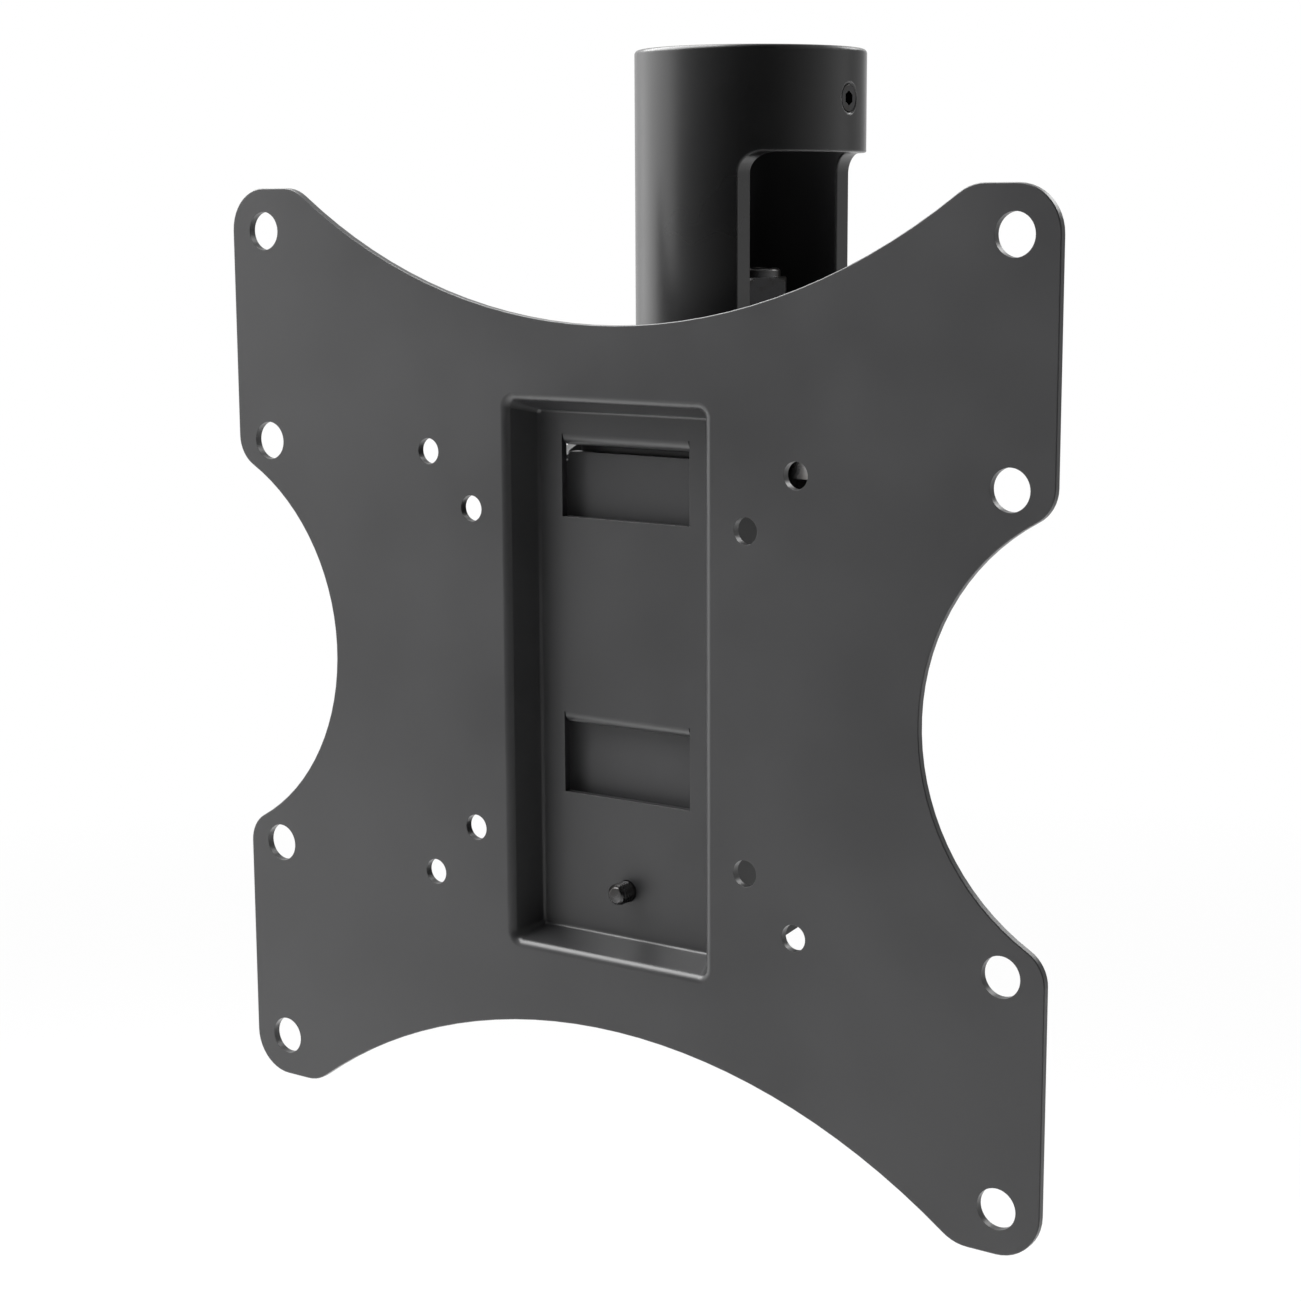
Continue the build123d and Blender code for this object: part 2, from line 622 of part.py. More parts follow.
with BuildPart() as plate_locking_screw:
    with BuildSketch(screw_seat.offset(m5_washer_thickness)):
        Circle(m5_cap / 2)
    extrude(amount=m5_head)
    chamfer(plate_locking_screw.edges().group_by(Axis.Y)[-1], m5_cap_bevel)
    with BuildSketch(screw_seat.offset(m5_washer_thickness)):
        Circle(m5_shank / 2)
    extrude(amount=-plate_screw_length)
    chamfer(plate_locking_screw.edges().group_by(Axis.Y)[0], point_bevel)
    with BuildSketch(screw_seat.offset(m5_washer_thickness + m5_head)):
        RegularPolygon(m5_key / 2, 6, major_radius=False)
    extrude(amount=-m5_key_depth, mode=Mode.SUBTRACT)
plate_locking_screw.part.label = "plate_locking_screw"
export_step(plate_locking_screw.part, "parts/plate_locking_screw.step")
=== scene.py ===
"""Looks of a ceiling mount for a flat screen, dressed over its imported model.

Metres throughout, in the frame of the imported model: +Z up along the pole, -Y towards the screen.
"""

import json
import logging
import math
from collections.abc import Mapping, Sequence
from dataclasses import dataclass, field
from enum import Enum

import bmesh
import bpy
from mathutils import Matrix, Vector


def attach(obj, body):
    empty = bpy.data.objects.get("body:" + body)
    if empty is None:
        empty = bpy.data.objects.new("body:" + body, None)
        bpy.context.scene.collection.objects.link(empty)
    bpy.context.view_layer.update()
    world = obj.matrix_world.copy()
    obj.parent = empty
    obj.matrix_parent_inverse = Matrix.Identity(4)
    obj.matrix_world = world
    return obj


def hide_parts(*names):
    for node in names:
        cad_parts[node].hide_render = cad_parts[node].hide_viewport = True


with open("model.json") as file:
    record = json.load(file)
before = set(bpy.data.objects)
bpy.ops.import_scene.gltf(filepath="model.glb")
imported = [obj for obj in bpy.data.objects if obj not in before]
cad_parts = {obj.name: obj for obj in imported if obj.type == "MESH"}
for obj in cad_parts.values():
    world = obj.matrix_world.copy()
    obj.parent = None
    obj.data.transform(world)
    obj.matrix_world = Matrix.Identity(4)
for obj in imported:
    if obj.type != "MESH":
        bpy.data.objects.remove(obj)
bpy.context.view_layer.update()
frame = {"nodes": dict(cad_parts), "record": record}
BODIES: dict[str, list[str]] = frame["record"]["behaviour"]["bodies"]

LOG = logging.getLogger("mount_looks")
MM = 0.001
SMOOTH_ANGLE = math.radians(32)     # faces that meet at less than this are shaded as one surface
SAME_POINT_M = 2e-6                 # points nearer to each other than this are one
ON_PLANE_M = 1e-7                   # points nearer to a cutting plane than this lie on it
NOISE_LOW, NOISE_HIGH = 0.3, 0.7    # a noise texture seldom leaves this range
EDGE_SAMPLES = 6                    # rays that look for the rounding of an edge
WHITE = (1.0, 1.0, 1.0, 1.0)


# Helpers


def linear(code: str) -> tuple[float, float, float, float]:
    """Turns an sRGB hex colour into linear light.

    Args:
        code: colour as "#rrggbb".

    Returns:
        Red, green, blue and an alpha of one.
    """
    parts = [int(code[at:at + 2], 16) / 255 for at in (1, 3, 5)]
    light = [p / 12.92 if p <= 0.04045 else ((p + 0.055) / 1.055) ** 2.4 for p in parts]
    return (light[0], light[1], light[2], 1.0)


def per_metre(size_mm: float) -> float:
    """Gives the texture scale whose pattern has that real size.

    Args:
        size_mm: size of one grain or wave, in millimetres.

    Returns:
        Grains or waves per metre.
    """
    return 1 / (size_mm * MM)


def add_node(
    tree: bpy.types.NodeTree,
    kind: str,
    settings: Mapping[str | int, object] | None = None,
    links: Mapping[str | int, bpy.types.NodeSocket] | None = None,
) -> bpy.types.Node:
    """Adds one shader node, with its settings and what feeds it.

    Args:
        tree: node tree that takes the node.
        kind: Blender's name for the kind of node.
        settings: properties by name, and input values by socket name or place.
        links: output sockets by the name or place of the input that they feed.

    Returns:
        The new node.
    """
    node = tree.nodes.new(kind)
    for key, value in (settings or {}).items():
        if isinstance(key, str) and hasattr(node, key):
            setattr(node, key, value)
        else:
            node.inputs[key].default_value = value
    for key, source in (links or {}).items():
        tree.links.new(source, node.inputs[key])
    return node


def new_material(name: str) -> tuple[bpy.types.Material, bpy.types.NodeTree]:
    """Makes an empty node material.

    Args:
        name: name of the finish.

    Returns:
        The material and its cleared node tree.
    """
    made = bpy.data.materials.new(name)
    made.use_nodes = True
    made.node_tree.nodes.clear()
    return made, made.node_tree


def new_piece(name: str, mesh: bmesh.types.BMesh, body: str) -> bpy.types.Object:
    """Turns a finished bmesh into a piece that rides on a body.

    Args:
        name: name of the piece.
        mesh: the bmesh, which is freed.
        body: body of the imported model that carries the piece.

    Returns:
        The object, at the origin, with its place in its mesh.
    """
    bmesh.ops.recalc_face_normals(mesh, faces=mesh.faces)
    for face in mesh.faces:
        face.smooth = True
    data = bpy.data.meshes.new(name)
    mesh.to_mesh(data)
    mesh.free()
    data.set_sharp_from_angle(angle=SMOOTH_ANGLE)
    piece = bpy.data.objects.new(name, data)
    bpy.context.scene.collection.objects.link(piece)
    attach(piece, body)
    return piece


def cut_and_close(mesh: bmesh.types.BMesh, place: Vector, away: Vector) -> None:
    """Cuts a closed bmesh with a plane and closes the cut.

    Args:
        mesh: the bmesh.
        place: a point of the plane.
        away: normal of the plane, towards the side that is dropped.
    """
    everything = [*mesh.verts, *mesh.edges, *mesh.faces]
    bmesh.ops.bisect_plane(mesh, geom=everything, dist=ON_PLANE_M, plane_co=place, plane_no=away,
                           clear_outer=True)
    open_edges = [edge for edge in mesh.edges if edge.is_boundary]
    bmesh.ops.holes_fill(mesh, edges=open_edges, sides=0)


def body_of(node: str) -> str:
    """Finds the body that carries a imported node.

    Args:
        node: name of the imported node.

    Returns:
        Name of its body.
    """
    return next(body for body, nodes in BODIES.items() if node in nodes)


# Finishes


@dataclass(frozen=True)
class PowderCoat:
    """Polyester powder baked on steel.

    The eye sees a pebbled skin with a dull sheen and faint clouds where the coat is thicker. Its
    edges are rounded, and a lighter colour is painted along them: a painted highlight.

    Attributes:
        name: name of the finish.
        colour: the coat itself.
        edge_highlight_colour: lighter colour painted along the edges, a painted highlight.
        roughness: middle roughness.
        roughness_spread: how far the clouds move it.
        pebble_mm: width of one pebble, drawn twice its real size so that it shows.
        pebble_mm_deep: its height.
        ripple_mm: width of the slow waves left by the flowing powder.
        ripple_mm_deep: their height.
        cloud_mm: width of the clouds.
        cloud_tint: share by which the clouds lighten and darken the colour.
        edge_mm: radius that the coat gives a sheared edge.
        edge_starts: cosine of the turn into an edge at which the painted highlight begins.
        edge_full: cosine of the turn at which the painted highlight has its full colour.
        dust: pale haze of the matt skin, seen along steep faces.
        dust_roughness: roughness of that haze.
        ior: index of refraction of polyester.
        gloss: strength of the mirrored light, half for a common gloss.
        painted_shade_from_mm: half-width beyond which the faces, the outer faces of the bracket's ears, are
            painted near black as a painted shade for the shade they lie in, or none.
        painted_shade_colour: colour of that painted shade.
        painted_shade_blend_mm: width over which the coat's colour fades into the painted shade.
    """

    name: str
    colour: str
    edge_highlight_colour: str
    roughness: float = 0.46
    roughness_spread: float = 0.05
    pebble_mm: float = 0.55
    pebble_mm_deep: float = 0.006
    ripple_mm: float = 3.2
    ripple_mm_deep: float = 0.008
    cloud_mm: float = 38.0
    cloud_tint: float = 0.12
    edge_mm: float = 0.35
    edge_starts: float = 0.995
    edge_full: float = 0.86
    dust: float = 0.2
    dust_roughness: float = 0.35
    ior: float = 1.5
    gloss: float = 0.5
    painted_shade_from_mm: float | None = None
    painted_shade_colour: str = "#161617"
    painted_shade_blend_mm: float = 0.6

    def material(self) -> bpy.types.Material:
        """Builds the coat's shader.

        Returns:
            The material.
        """
        made, tree = new_material(self.name)
        place = add_node(tree, "ShaderNodeTexCoord").outputs["Object"]
        cloud = add_node(tree, "ShaderNodeTexNoise", {"Scale": per_metre(self.cloud_mm), "Detail": 3.0},
                         {"Vector": place})
        pebble = add_node(tree, "ShaderNodeTexNoise",
                          {"Scale": per_metre(self.pebble_mm), "Detail": 2.0, "Roughness": 0.55},
                          {"Vector": place})
        ripple = add_node(tree, "ShaderNodeTexNoise", {"Scale": per_metre(self.ripple_mm), "Detail": 1.0},
                          {"Vector": place})
        rounded = add_node(tree, "ShaderNodeBevel", {"samples": EDGE_SAMPLES, "Radius": self.edge_mm * MM})
        flat = add_node(tree, "ShaderNodeNewGeometry")
        turned = add_node(tree, "ShaderNodeVectorMath", {"operation": "DOT_PRODUCT"},
                          {0: rounded.outputs["Normal"], 1: flat.outputs["Normal"]})
        # painted highlight: mask of the rounded edges, along which a lighter colour is painted
        edge = add_node(tree, "ShaderNodeMapRange",
                        {"From Min": self.edge_starts, "From Max": self.edge_full,
                         "To Min": 0.0, "To Max": 1.0},
                        {"Value": turned.outputs["Value"]})
        tinted = add_node(tree, "ShaderNodeMapRange",
                          {"From Min": NOISE_LOW, "From Max": NOISE_HIGH,
                           "To Min": 1.0 - self.cloud_tint, "To Max": 1.0 + self.cloud_tint},
                          {"Value": cloud.outputs["Fac"]})
        body = add_node(tree, "ShaderNodeVectorMath", {"operation": "SCALE", 0: linear(self.colour)[:3]},
                        {"Scale": tinted.outputs["Result"]})
        # the lighter edge colour mixed in here is a painted highlight
        colour = add_node(tree, "ShaderNodeMix", {"data_type": "RGBA", 7: linear(self.edge_highlight_colour)},
                          {0: edge.outputs["Result"], 6: body.outputs["Vector"]})
        # painted shade: faces farther than the half-width from the middle, the outer faces of the bracket's
        # ears, are painted near black
        if self.painted_shade_from_mm is not None:
            side = add_node(tree, "ShaderNodeSeparateXYZ", links={0: place})
            off_middle = add_node(tree, "ShaderNodeMath", {"operation": "ABSOLUTE"}, {0: side.outputs["X"]})
            painted_shade = add_node(tree, "ShaderNodeMapRange",
                              {"From Min": (self.painted_shade_from_mm - self.painted_shade_blend_mm) * MM,
                               "From Max": self.painted_shade_from_mm * MM},
                              {"Value": off_middle.outputs["Value"]})
            colour = add_node(tree, "ShaderNodeMix", {"data_type": "RGBA", 7: linear(self.painted_shade_colour)},
                              {0: painted_shade.outputs["Result"], 6: colour.outputs[2]})
        rough = add_node(tree, "ShaderNodeMapRange",
                         {"From Min": NOISE_LOW, "From Max": NOISE_HIGH,
                          "To Min": self.roughness - self.roughness_spread,
                          "To Max": self.roughness + self.roughness_spread},
                         {"Value": cloud.outputs["Fac"]})
        slow = add_node(tree, "ShaderNodeBump", {"Strength": 1.0, "Distance": self.ripple_mm_deep * MM},
                        {"Height": ripple.outputs["Fac"], "Normal": rounded.outputs["Normal"]})
        fine = add_node(tree, "ShaderNodeBump", {"Strength": 1.0, "Distance": self.pebble_mm_deep * MM},
                        {"Height": pebble.outputs["Fac"], "Normal": slow.outputs["Normal"]})
        shader = add_node(tree, "ShaderNodeBsdfPrincipled",
                          {"Metallic": 0.0, "IOR": self.ior, "Specular IOR Level": self.gloss,
                           "Sheen Weight": self.dust, "Sheen Roughness": self.dust_roughness},
                          {"Base Color": colour.outputs[2], "Roughness": rough.outputs["Result"],
                           "Normal": fine.outputs["Normal"]})
        add_node(tree, "ShaderNodeOutputMaterial", links={"Surface": shader.outputs["BSDF"]})
        return made


@dataclass(frozen=True)
class PlatedSteel:
    """Steel under a thin metal or oxide skin.

    The eye sees a soft metallic shine, faint cloudy patches from the bath, and fine random
    scratches from the barrel that the screws were plated in.

    Attributes:
        name: name of the finish.
        colour: the skin.
        patch_colour: the skin in its cloudy patches.
        roughness: middle roughness.
        roughness_spread: how far the patches move it.
        patch_mm: width of the patches.
        patch_starts: level of the noise at which a patch begins.
        patch_full: level at which it has its full colour.
        grain_mm: width of the fine grain.
        grain_mm_deep: its height.
        edge_mm: radius that tumbling gives an edge.
    """

    name: str
    colour: str
    patch_colour: str
    roughness: float
    roughness_spread: float = 0.08
    patch_mm: float = 5.0
    patch_starts: float = 0.38
    patch_full: float = 0.66
    grain_mm: float = 0.4
    grain_mm_deep: float = 0.004
    edge_mm: float = 0.25

    def material(self) -> bpy.types.Material:
        """Builds the plated shader.

        Returns:
            The material.
        """
        made, tree = new_material(self.name)
        place = add_node(tree, "ShaderNodeTexCoord").outputs["Object"]
        patch = add_node(tree, "ShaderNodeTexNoise", {"Scale": per_metre(self.patch_mm), "Detail": 4.0},
                         {"Vector": place})
        grain = add_node(tree, "ShaderNodeTexNoise", {"Scale": per_metre(self.grain_mm), "Detail": 2.0},
                         {"Vector": place})
        share = add_node(tree, "ShaderNodeMapRange",
                         {"From Min": self.patch_starts, "From Max": self.patch_full,
                          "To Min": 0.0, "To Max": 1.0},
                         {"Value": patch.outputs["Fac"]})
        colour = add_node(tree, "ShaderNodeMix",
                          {"data_type": "RGBA", 6: linear(self.colour), 7: linear(self.patch_colour)},
                          {0: share.outputs["Result"]})
        rough = add_node(tree, "ShaderNodeMapRange",
                         {"From Min": NOISE_LOW, "From Max": NOISE_HIGH,
                          "To Min": self.roughness - self.roughness_spread,
                          "To Max": self.roughness + self.roughness_spread},
                         {"Value": patch.outputs["Fac"]})
        rounded = add_node(tree, "ShaderNodeBevel", {"samples": EDGE_SAMPLES, "Radius": self.edge_mm * MM})
        fine = add_node(tree, "ShaderNodeBump", {"Strength": 1.0, "Distance": self.grain_mm_deep * MM},
                        {"Height": grain.outputs["Fac"], "Normal": rounded.outputs["Normal"]})
        shader = add_node(tree, "ShaderNodeBsdfPrincipled", {"Metallic": 1.0},
                          {"Base Color": colour.outputs[2], "Roughness": rough.outputs["Result"],
                           "Normal": fine.outputs["Normal"]})
        add_node(tree, "ShaderNodeOutputMaterial", links={"Surface": shader.outputs["BSDF"]})
        return made


@dataclass(frozen=True)
class MouldedNylon:
    """Natural nylon, moulded.

    The eye sees a milky cream plastic with a soft waxy sheen and a faint grain from the mould.

    Attributes:
        name: name of the finish.
        colour: the plastic.
        shade_colour: the plastic in its duller streaks.
        roughness: middle roughness.
        roughness_spread: how far the streaks move it.
        grain_mm: width of the mould's grain.
        grain_mm_deep: its height.
        streak_mm: width of the streaks.
        edge_mm: radius that the mould gives an edge.
        ior: index of refraction of nylon.
    """

    name: str
    colour: str = "#d9d5c6"
    shade_colour: str = "#c9c3b0"
    roughness: float = 0.42
    roughness_spread: float = 0.06
    grain_mm: float = 0.6
    grain_mm_deep: float = 0.005
    streak_mm: float = 7.0
    edge_mm: float = 0.2
    ior: float = 1.53

    def material(self) -> bpy.types.Material:
        """Builds the nylon shader.

        Returns:
            The material.
        """
        made, tree = new_material(self.name)
        place = add_node(tree, "ShaderNodeTexCoord").outputs["Object"]
        streak = add_node(tree, "ShaderNodeTexNoise", {"Scale": per_metre(self.streak_mm), "Detail": 3.0},
                          {"Vector": place})
        grain = add_node(tree, "ShaderNodeTexNoise", {"Scale": per_metre(self.grain_mm), "Detail": 2.0},
                         {"Vector": place})
        colour = add_node(tree, "ShaderNodeMix",
                          {"data_type": "RGBA", 6: linear(self.colour), 7: linear(self.shade_colour)},
                          {0: streak.outputs["Fac"]})
        rough = add_node(tree, "ShaderNodeMapRange",
                         {"To Min": self.roughness - self.roughness_spread,
                          "To Max": self.roughness + self.roughness_spread},
                         {"Value": streak.outputs["Fac"]})
        rounded = add_node(tree, "ShaderNodeBevel", {"samples": EDGE_SAMPLES, "Radius": self.edge_mm * MM})
        fine = add_node(tree, "ShaderNodeBump", {"Strength": 1.0, "Distance": self.grain_mm_deep * MM},
                        {"Height": grain.outputs["Fac"], "Normal": rounded.outputs["Normal"]})
        shader = add_node(tree, "ShaderNodeBsdfPrincipled", {"Metallic": 0.0, "IOR": self.ior},
                          {"Base Color": colour.outputs[2], "Roughness": rough.outputs["Result"],
                           "Normal": fine.outputs["Normal"]})
        add_node(tree, "ShaderNodeOutputMaterial", links={"Surface": shader.outputs["BSDF"]})
        return made


class Finish(Enum):
    """The finishes of this mount, each named as its material."""

    # each coat's second colour is the lighter colour of its painted edge highlight
    SOCKET_COAT = PowderCoat("socket_coat", "#0b0b0c", "#8c8c8d", roughness=0.31, edge_mm=0.5, dust=0.05)
    # the bracket's ears beyond 22.6 mm from the middle are painted near black: a painted shade
    BRACKET_COAT = PowderCoat("bracket_coat", "#353536", "#3a3a3b", roughness=0.42, dust=0.0, gloss=0.3,
                              painted_shade_from_mm=22.6)
    PLATE_COAT = PowderCoat("plate_coat", "#272728", "#303031", roughness=0.37, edge_mm=0.12, dust=0.0)
    ZINC_STEEL = PlatedSteel("zinc_steel", "#c3c5c7", "#a8a79f", roughness=0.3)
    BLACK_STEEL = PlatedSteel("black_steel", "#4a4a4b", "#3c3a38", roughness=0.28)
    NYLON = MouldedNylon("nylon")

    @property
    def slot(self) -> str:
        """Name of the material that this finish makes."""
        return self.value.name


class Wardrobe:
    """Makes each finish once and hands it out."""

    def __init__(self) -> None:
        """Starts with nothing made."""
        self._made: dict[Finish, bpy.types.Material] = {}

    def material(self, finish: Finish) -> bpy.types.Material:
        """Gives a finish's material, made at its first use.

        Args:
            finish: the finish.

        Returns:
            The material.
        """
        if finish not in self._made:
            self._made[finish] = finish.value.material()
        return self._made[finish]

    def dress(self, piece: bpy.types.Object, finish: Finish) -> None:
        """Puts a finish on every face of a piece.

        Args:
            piece: the piece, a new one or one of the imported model.
            finish: the finish.
        """
        piece.data.materials.clear()
        piece.data.materials.append(self.material(finish))


# Sub-assemblies


@dataclass(frozen=True)
class RolledThread:
    """A metric thread rolled on the end of a bolt.

    Attributes:
        width_mm: outside diameter.
        pitch_mm: from one crest to the next.
        start_mm: where the thread begins, on the bolt's axis.
        end_mm: the bolt's end, on the same axis.
        bevel_mm: bevel at the bolt's end.
        crest_gap_mm: how far the crests stay inside the plain bolt.
        depth: depth of the thread, as a share of the pitch.
        root_flat: flat at the root, as a share of the pitch.
        crest_flat: flat on the crest, as a share of the pitch.
        same_point: distance below which two points are one, as a share of the pitch.
        steps: faces round one turn.
    """

    width_mm: float
    pitch_mm: float
    start_mm: Vector
    end_mm: Vector
    bevel_mm: float = 0.8
    crest_gap_mm: float = 0.02
    depth: float = 0.6134
    root_flat: float = 0.25
    crest_flat: float = 0.125
    same_point: float = 0.002
    steps: int = 40

    @property
    def along(self) -> Vector:
        """Direction from the thread's start to the bolt's end."""
        return (self.end_mm - self.start_mm).normalized()

    @property
    def length_mm(self) -> float:
        """Length of the thread."""
        return (self.end_mm - self.start_mm).length

    def turned(self) -> bmesh.types.BMesh:
        """Turns the thread, standing on the origin and pointing up, in millimetres.

        Returns:
            The closed thread.
        """
        pitch = self.pitch_mm
        crest = self.width_mm / 2 - self.crest_gap_mm
        root = crest - self.depth * pitch
        rise = self.root_flat / 2
        top = 0.5 - self.crest_flat / 2
        outline = ((root, 0.0), (root, rise), (crest, top),
                   (crest, 1.0 - top), (root, 1.0 - rise), (root, 1.0))
        mesh = bmesh.new()
        points = [mesh.verts.new((across, 0.0, (up - 1.0) * pitch)) for across, up in outline]
        edges = [mesh.edges.new(pair) for pair in zip(points, points[1:])]
        # spare turns at both ends, which the two cuts take off
        turns = math.ceil(self.length_mm / pitch) + 2
        bmesh.ops.spin(mesh, geom=[*points, *edges], cent=(0, 0, 0), axis=(0, 0, 1),
                       dvec=(0, 0, pitch / self.steps), angle=math.tau * turns, steps=turns * self.steps,
                       use_merge=False)
        bmesh.ops.remove_doubles(mesh, verts=mesh.verts, dist=self.same_point * pitch)
        cut_and_close(mesh, Vector((0, 0, 0)), Vector((0, 0, -1)))
        cut_and_close(mesh, Vector((0, 0, self.length_mm)), Vector((0, 0, 1)))
        for vert in mesh.verts:
            allowed = crest - max(0.0, vert.co.z - (self.length_mm - self.bevel_mm))
            across = math.hypot(vert.co.x, vert.co.y)
            if across > allowed:
                vert.co.xy = vert.co.xy * (allowed / across)
        return mesh

    def placed(self) -> bmesh.types.BMesh:
        """Stands the thread on its bolt.

        Returns:
            The thread, in metres, in the model's frame.
        """
        mesh = self.turned()
        aim = Vector((0, 0, 1)).rotation_difference(self.along).to_matrix().to_4x4()
        there = Matrix.Translation(self.start_mm * MM) @ aim @ Matrix.Scale(MM, 4)
        bmesh.ops.transform(mesh, matrix=there, verts=mesh.verts)
        return mesh


@dataclass
class ThreadedFastener:
    """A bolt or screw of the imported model, copied and given its real thread.

    Attributes:
        node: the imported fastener.
        finish: its finish.
        thread: the thread rolled on its end.
    """

    node: str
    finish: Finish
    thread: RolledThread

    def build(self, wardrobe: Wardrobe) -> bpy.types.Object:
        """Copies the fastener, takes off its plain end and joins the thread to it.

        Args:
            wardrobe: where the finish comes from.

        Returns:
            The threaded piece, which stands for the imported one.
        """
        mesh = bmesh.new()
        mesh.from_mesh(frame["nodes"][self.node].data)
        bmesh.ops.remove_doubles(mesh, verts=mesh.verts, dist=SAME_POINT_M)
        cut_and_close(mesh, self.thread.start_mm * MM, self.thread.along)
        rolled = bpy.data.meshes.new("rolled_thread")
        thread = self.thread.placed()
        thread.to_mesh(rolled)
        thread.free()
        mesh.from_mesh(rolled)
        bpy.data.meshes.remove(rolled)
        piece = new_piece(f"{self.node}_threaded", mesh, body_of(self.node))
        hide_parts(self.node)
        wardrobe.dress(piece, self.finish)
        return piece


@dataclass
class SubAssembly:
    """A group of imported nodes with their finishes.

    Attributes:
        title: what the group is, for the log.
        finishes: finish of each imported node.
    """

    title: str
    finishes: dict[str, Finish]

    def build(self, wardrobe: Wardrobe) -> list[bpy.types.Object]:
        """Makes the group's own new pieces.

        Args:
            wardrobe: where the finishes come from.

        Returns:
            The new pieces, none for a plain group.
        """
        return []

    def dress(self, wardrobe: Wardrobe) -> None:
        """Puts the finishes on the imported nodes.

        Args:
            wardrobe: where the finishes come from.
        """
        for node, finish in self.finishes.items():
            wardrobe.dress(frame["nodes"][node], finish)
            LOG.info("%s: %s in %s", self.title, node, finish.slot)


@dataclass
class PoleSocket(SubAssembly):
    """The cast socket with its two grub screws."""

    title: str = "pole socket"
    finishes: dict[str, Finish] = field(default_factory=lambda: {
        "pole_socket": Finish.SOCKET_COAT,
        "pole_grub_screws": Finish.BLACK_STEEL,
    })


@dataclass
class SwivelStack(SubAssembly):
    """The bolt, nut and washers that hang the yoke under the socket."""

    title: str = "swivel"
    finishes: dict[str, Finish] = field(default_factory=lambda: {
        "swivel_bolt": Finish.BLACK_STEEL,
        "swivel_lock_nut": Finish.BLACK_STEEL,
        "swivel_nut_insert": Finish.NYLON,
        "swivel_upper_washer": Finish.BLACK_STEEL,
        "swivel_lower_washer": Finish.BLACK_STEEL,
        "swivel_friction_washer": Finish.NYLON,
    })


@dataclass
class YokeAndTilt(SubAssembly):
    """The yoke with the long tilt bolt, its nut and washers, and the two lock screws.

    Attributes:
        thread_mm: outside diameter of the tilt bolt.
        pitch_mm: its coarse pitch.
        pivot_mm: the tilt pivot, at the middle of the mount.
        thread_from_mm: where the thread begins, to the right of the middle.
        bolt_end_mm: the bolt's end, to the right of the middle.
    """

    title: str = "yoke and tilt"
    finishes: dict[str, Finish] = field(default_factory=lambda: {
        "swivel_yoke": Finish.PLATE_COAT,
        "tilt_bolt": Finish.BLACK_STEEL,
        "tilt_lock_nut": Finish.BLACK_STEEL,
        "tilt_nut_insert": Finish.NYLON,
        "tilt_head_washer": Finish.BLACK_STEEL,
        "tilt_nut_washer": Finish.BLACK_STEEL,
        "tilt_spacer_tube": Finish.ZINC_STEEL,
        "tilt_friction_washer_left": Finish.NYLON,
        "tilt_friction_washer_right": Finish.NYLON,
        "tilt_slide_washer_left": Finish.NYLON,
        "tilt_slide_washer_right": Finish.NYLON,
        "tilt_lock_screw_left": Finish.ZINC_STEEL,
        "tilt_lock_screw_right": Finish.ZINC_STEEL,
        "tilt_lock_washer_left": Finish.ZINC_STEEL,
        "tilt_lock_washer_right": Finish.ZINC_STEEL,
        "tilt_weld_nut_left": Finish.ZINC_STEEL,
        "tilt_weld_nut_right": Finish.ZINC_STEEL,
    })
    thread_mm: float = 10.0
    pitch_mm: float = 1.5
    pivot_mm: tuple[float, float, float] = (0.0, -15.1, -96.0)
    thread_from_mm: float = 25.0
    bolt_end_mm: float = 38.9

    def build(self, wardrobe: Wardrobe) -> list[bpy.types.Object]:
        """Gives the tilt bolt its thread.

        Args:
            wardrobe: where the finishes come from.

        Returns:
            The threaded bolt.
        """
        middle = Vector(self.pivot_mm)
        start = middle + Vector((self.thread_from_mm, 0, 0))
        end = middle + Vector((self.bolt_end_mm, 0, 0))
        thread = RolledThread(self.thread_mm, self.pitch_mm, start, end)
        return [ThreadedFastener("tilt_bolt", Finish.BLACK_STEEL, thread).build(wardrobe)]


@dataclass
class ScreenBracket(SubAssembly):
    """The channel bracket, the pressed plate hooked on it and the screw that locks them.

    Attributes:
        screw_mm: outside diameter of the locking screw.
        pitch_mm: its coarse pitch.
        screw_drop_mm: height of the locking screw.
        screw_from_mm: depth at which its thread begins, behind the head's washer.
        screw_tip_mm: depth of its tip, in the recess.
    """

    title: str = "screen bracket"
    finishes: dict[str, Finish] = field(default_factory=lambda: {
        "tilt_bracket": Finish.BRACKET_COAT,
        "vesa_plate": Finish.PLATE_COAT,
        "plate_locking_screw": Finish.BLACK_STEEL,
        "plate_locking_washer": Finish.BLACK_STEEL,
    })
    screw_mm: float = 5.0
    pitch_mm: float = 0.8
    screw_drop_mm: float = -190.0
    screw_from_mm: float = -45.2
    screw_tip_mm: float = -55.6

    def build(self, wardrobe: Wardrobe) -> list[bpy.types.Object]:
        """Gives the locking screw its thread.

        Args:
            wardrobe: where the finishes come from.

        Returns:
            The threaded screw.
        """
        start = Vector((0, self.screw_from_mm, self.screw_drop_mm))
        end = Vector((0, self.screw_tip_mm, self.screw_drop_mm))
        thread = RolledThread(self.screw_mm, self.pitch_mm, start, end)
        return [ThreadedFastener("plate_locking_screw", Finish.BLACK_STEEL, thread).build(wardrobe)]


# Studio


